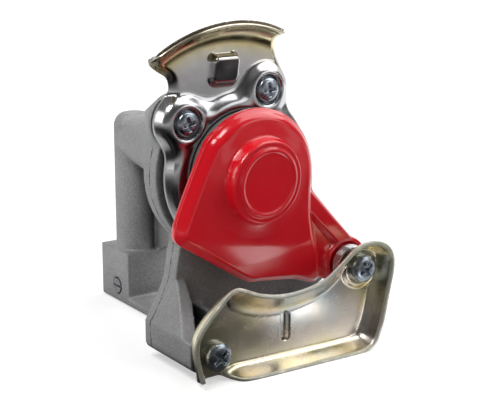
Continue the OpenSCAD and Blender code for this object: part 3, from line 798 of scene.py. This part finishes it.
# Each point of the rim: its place across and up, and the flare's width and height there.
rim_line = curve([
    (-35.9, -75.6, 3.4, 8.0), (-34.2, -77.0, 3.2, 2.0), (-30.0, -77.3, 3.0, 0.0), (-25.0, -77.2, 3.0, 0.2),
    (-21.2, -77.6, 4.0, 3.6), (-17.0, -78.1, 5.0, 7.6), (-7.5, -78.4, 5.2, 8.5), (15, -78.4, 5.2, 8.5),
    (36, -78.4, 5.2, 8.5), (44.6, -77.6, 5.2, 8.5), (48.8, -75.2, 5.2, 8.5), (50.9, -71.0, 5.2, 8.5),
    (53.0, -64.7, 5.2, 8.5), (55.4, -53.5, 5.2, 8.5), (57.4, -43.8, 5.2, 8.5), (56.9, -38.0, 5.2, 8.5),
    (53.8, -34.2, 5.4, 8.5), (49.6, -32.4, 5.6, 8.5), (44.8, -32.0, 6.0, 8.5), (40.6, -32.8, 7.0, 8.5),
    (37.0, -34.6, 8.0, 8.5), (31, -39.0, 9.4, 8.5), (22.9, -44.0, 10, 8.5), (12, -46.6, 10, 8.5),
    (0.5, -46.9, 10, 8.5), (-10, -44.8, 9.6, 8.5), (-17.6, -41.6, 8.6, 8.5), (-21.2, -40.7, 7.0, 8.5),
    (-24.4, -42.2, 5.4, 8.5), (-28.4, -46.0, 4.6, 8.5), (-32.4, -49.8, 4.4, 8.5), (-36.0, -53.9, 4.4, 8.5),
    (-38.3, -57.6, 4.4, 8.5), (-39.0, -61.6, 4.4, 8.5), (-38.5, -66.5, 4.4, 8.5), (-37.2, -71.6, 4.0, 8.4)])


def claw_region(places):
    whole = inside(places, rim_line)[0]
    for hole in (pivot, foot_screw):
        whole = np.minimum(whole, distance(places, hole) - claw_hole_r)
    return whole


def claw_front(places):
    within, values = inside(places, rim_line)
    width, height = values.T
    climb = np.clip(1 - within / width, 0, 1.3)
    forward = height * climb ** np.where(width > wide_flare, wide_flare_curl, flare_curl)
    forward = np.maximum(forward, pivot_seat_h * smooth_step(*pivot_seat_wall, distance(places, pivot)))
    across, above = (places - rib_middle).T
    rib = rib_half_width - np.hypot(across, np.maximum(np.abs(above) - rib_half_length, 0))
    deep = claw_y - forward + rib_depth * smooth_step(*rib_wall, rib)
    return np.stack([places[:, 0], deep, places[:, 1]], 1)


claw_rear = sheet_rear(claw_front, claw_sheet_t)
claw = pressed("claw_sheet", claw_region, claw_front, claw_rear, claw_box, pitch=0.5)
claw.data.materials.append(claw_zinc)
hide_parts("claw_plate")
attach(claw, "base")

# Claw screw and pivot screw: two large pan-head screws like the small ones. One goes into the foot, the
# other through the claw plate, the spring and the bush into the housing.
large_screw_sizes = (6.0, 4.4, 3.0)
foot_screw_length = 22
pivot_screw_length = 34
pivot_head_y = claw_y - 1.5
foot = pan_screw("foot_screw_pan", foot_screw, large_screw_sizes, claw_y, foot_screw_length, 40)
swivel = pan_screw("pivot_screw_pan", pivot, large_screw_sizes, pivot_head_y, pivot_screw_length, 25)
for screw, node in ((foot, "claw_screw"), (swivel, "pivot_screw")):
    screw.data.materials.append(screw_zinc)
    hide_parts(node)
    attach(screw, "base")

# Stage: pale floor, large soft lights, and the camera at the photograph's angle. The floor is white to
# the camera, and in reflections it fades to white from about the picture's lower edge backward. Nearer
# than that, only reflections see a glowing pattern painted on the floor: painted shade that darkens
# towards the piece, a bright strip, and one card glowing brighter than white as a painted highlight.
floor_half = 3
floor_gap = 0.0005
floor_corners = [(x * floor_half, y * floor_half, 0) for x, y in ((-1, -1), (1, -1), (1, 1), (-1, 1))]
floor_mesh = bpy.data.meshes.new("floor")
floor_mesh.from_pydata(floor_corners, [], [(0, 1, 2, 3)])
floor = bpy.data.objects.new("floor", floor_mesh)
bpy.context.scene.collection.objects.link(floor)
floor.location.z = solid_box[0].z - floor_gap

view_x = 0.55
view_y = 0.83
fade_shift = 0.2


def white_share(tree, axes, fade):
    """Where a ray sees the white sweep: the camera's always, a reflection's beyond a soft line.

    The line lies across the camera's view. fade is where the white starts and where it is full,
    along the view and shifted to be above 0."""
    paths = add(tree, "LightPath").outputs
    beyond = maths(tree, "ADD", maths(tree, "MULTIPLY", axes.outputs["X"], view_x),
                   maths(tree, "MULTIPLY", axes.outputs["Y"], view_y))
    beyond = maths(tree, "ADD", beyond, fade_shift)
    swept = ramp(tree, beyond, (fade[0], 0.0), (fade[1], 1.0))
    mirrored = maths(tree, "MULTIPLY", paths["Is Glossy Ray"], swept)
    seen = maths(tree, "MAXIMUM", paths["Is Camera Ray"], paths["Is Transmission Ray"])
    return maths(tree, "MAXIMUM", seen, mirrored)


def shader_mix(tree, share, first, second):
    """One shader where the share is 0, another where it is 1."""
    node = add(tree, "MixShader", Fac=share)
    feed(tree, node.inputs[1], first.outputs[0])
    feed(tree, node.inputs[2], second.outputs[0])
    return node


pale, tree, main, place = blank("pale_floor")
dress(tree, main, Base_Color=(0.65, 0.65, 0.65), Roughness=0.9)
axes = add(tree, "SeparateXYZ", Vector=place)
away = add(tree, "VectorMath", {"operation": "LENGTH"})
feed(tree, away.inputs[0], place)
# A ramp runs from 0 to 1, so the places across and outward are scaled to fit.
side = maths(tree, "ADD", maths(tree, "MULTIPLY", axes.outputs["X"], 4.0), 0.2)
span = maths(tree, "MULTIPLY", away.outputs["Value"], 0.8)
ahead = maths(tree, "MULTIPLY", axes.outputs["Y"], -1.0)
# Painted reflection: a bright strip and then painted shade that falls off near the piece, seen only in
# reflections.
painted_near_reflection = ramp(tree, ahead, (0.10, 0.3), (0.122, 1.3), (0.129, 0.8), (0.138, 0.24), (0.152, 0.16),
             (0.162, 0.13), (0.19, 0.10), (0.23, 0.06), (0.30, 0.03))
close_side = ramp(tree, side, (0.14, 0.05), (0.20, 0.6), (0.26, 0.6), (0.31, 0.9), (0.38, 1.0), (0.52, 0.9),
                  (0.58, 0.3), (0.64, 0.1))
painted_near_reflection = blended(tree, 1.0, painted_near_reflection, close_side, "MULTIPLY")
# Painted highlight: a patch glowing at 3.4, seen only in reflections.
painted_highlight_card = ramp(tree, ahead, (0.158, 0.0), (0.163, 3.4), (0.190, 3.4), (0.195, 0.0))
card_side = ramp(tree, side, (0.35, 0.0), (0.37, 1.0), (0.46, 1.0), (0.475, 0.0))
painted_highlight_card = blended(tree, 1.0, painted_highlight_card, card_side, "MULTIPLY")
painted_near_reflection = blended(tree, 1.0, painted_near_reflection, painted_highlight_card, "ADD")
painted_reflection_map = ramp(tree, span, (0.24, 0.01), (0.29, 0.05), (0.36, 0.10), (0.42, 0.35), (0.52, 0.35), (0.60, 0.18),
             (0.70, 0.22), (0.735, 0.40), (0.78, 0.9))
painted_reflection_map = blended(tree, ramp(tree, span, (0.21, 0.0), (0.25, 1.0)), painted_near_reflection, painted_reflection_map)
painted_reflection_glow = add(tree, "Emission", Color=painted_reflection_map, Strength=1.0)
near_side = shader_mix(tree, add(tree, "LightPath").outputs["Is Glossy Ray"], main, painted_reflection_glow)
white = add(tree, "Emission", Color=ramp(tree, span, (0.20, 0.5), (0.60, 1.0)), Strength=1.0)
swept_floor = add(tree, "AddShader")
feed(tree, swept_floor.inputs[0], white.outputs[0])
feed(tree, swept_floor.inputs[1], main.outputs[0])
whole_floor = shader_mix(tree, white_share(tree, axes, (0.095, 0.150)), near_side, swept_floor)
feed(tree, tree.nodes["Material Output"].inputs["Surface"], whole_floor.outputs[0])
floor_mesh.materials.append(pale)

world = bpy.data.worlds.new("studio")
bpy.context.scene.world = world
world.use_nodes = True
tree = world.node_tree
axes = add(tree, "SeparateXYZ", Vector=add(tree, "TexCoord").outputs["Generated"])
rise = maths(tree, "ADD", maths(tree, "MULTIPLY", axes.outputs["Z"], 0.5), 0.5)
room = ramp(tree, rise, (0.45, 0.10), (0.53, 0.28), (0.60, 0.24), (0.72, 0.10), (0.95, 0.35))
dim_room = tree.nodes["Background"]
dress(tree, dim_room, Color=room, Strength=0.5)
bright = add(tree, "Background", Color=(1, 1, 1), Strength=1.0)
whole_room = shader_mix(tree, white_share(tree, axes, (0.55, 0.85)), dim_room, bright)
feed(tree, tree.nodes["World Output"].inputs["Surface"], whole_room.outputs[0])

# Each light: its place, its width and height in metres, and its power in watts.
lights = {"key": ((-0.55, -0.20, 0.95), 0.45, 0.45, 7.0),
          "top": ((0.60, -0.26, 0.98), 1.0, 1.1, 10.0),
          "front": ((0.62, -0.95, 0.45), 0.6, 0.5, 1.5),
          "left": ((-0.85, 0.15, 0.35), 0.35, 0.5, 1.4)}
aim = Vector((0.0, -0.075, 0.075))
for name, (at, width, height, power) in lights.items():
    lamp = bpy.data.lights.new(name, "AREA")
    lamp.shape = "RECTANGLE"
    lamp.size = width
    lamp.size_y = height
    lamp.energy = power
    holder = bpy.data.objects.new(name, lamp)
    bpy.context.scene.collection.objects.link(holder)
    holder.location = at
    holder.rotation_euler = (aim - Vector(at)).to_track_quat("-Z", "Y").to_euler()

# The camera puts the sealing centre at its own pixel of the picture.
picture_width, picture_height = 495, 400
seal_pixel_x, seal_pixel_y = 252, 175
focal_pixels = 1300.0
camera_distance = 0.5306
sensor = 36
azimuth = math.radians(-33.7)
elevation = math.radians(13.8)
back = Vector((math.sin(azimuth) * math.cos(elevation), -math.cos(azimuth) * math.cos(elevation),
               math.sin(elevation)))
right = Vector((math.cos(azimuth), math.sin(azimuth), 0))
up = back.cross(right)
across = (seal_pixel_x - picture_width / 2) / focal_pixels * camera_distance
above = (picture_height / 2 - seal_pixel_y) / focal_pixels * camera_distance
spot = Vector(seal_centre) - (right * across + up * above - back * camera_distance)
camera = bpy.data.objects.new("camera", bpy.data.cameras.new("camera"))
bpy.context.scene.collection.objects.link(camera)
camera.data.sensor_width = sensor
camera.data.lens = sensor * focal_pixels / picture_width
camera.data.clip_start = 0.01
camera.matrix_world = Matrix(((right.x, up.x, back.x, spot.x), (right.y, up.y, back.y, spot.y),
                              (right.z, up.z, back.z, spot.z), (0, 0, 0, 1)))
bpy.context.scene.camera = camera
bpy.context.scene.view_settings.view_transform = "Standard"
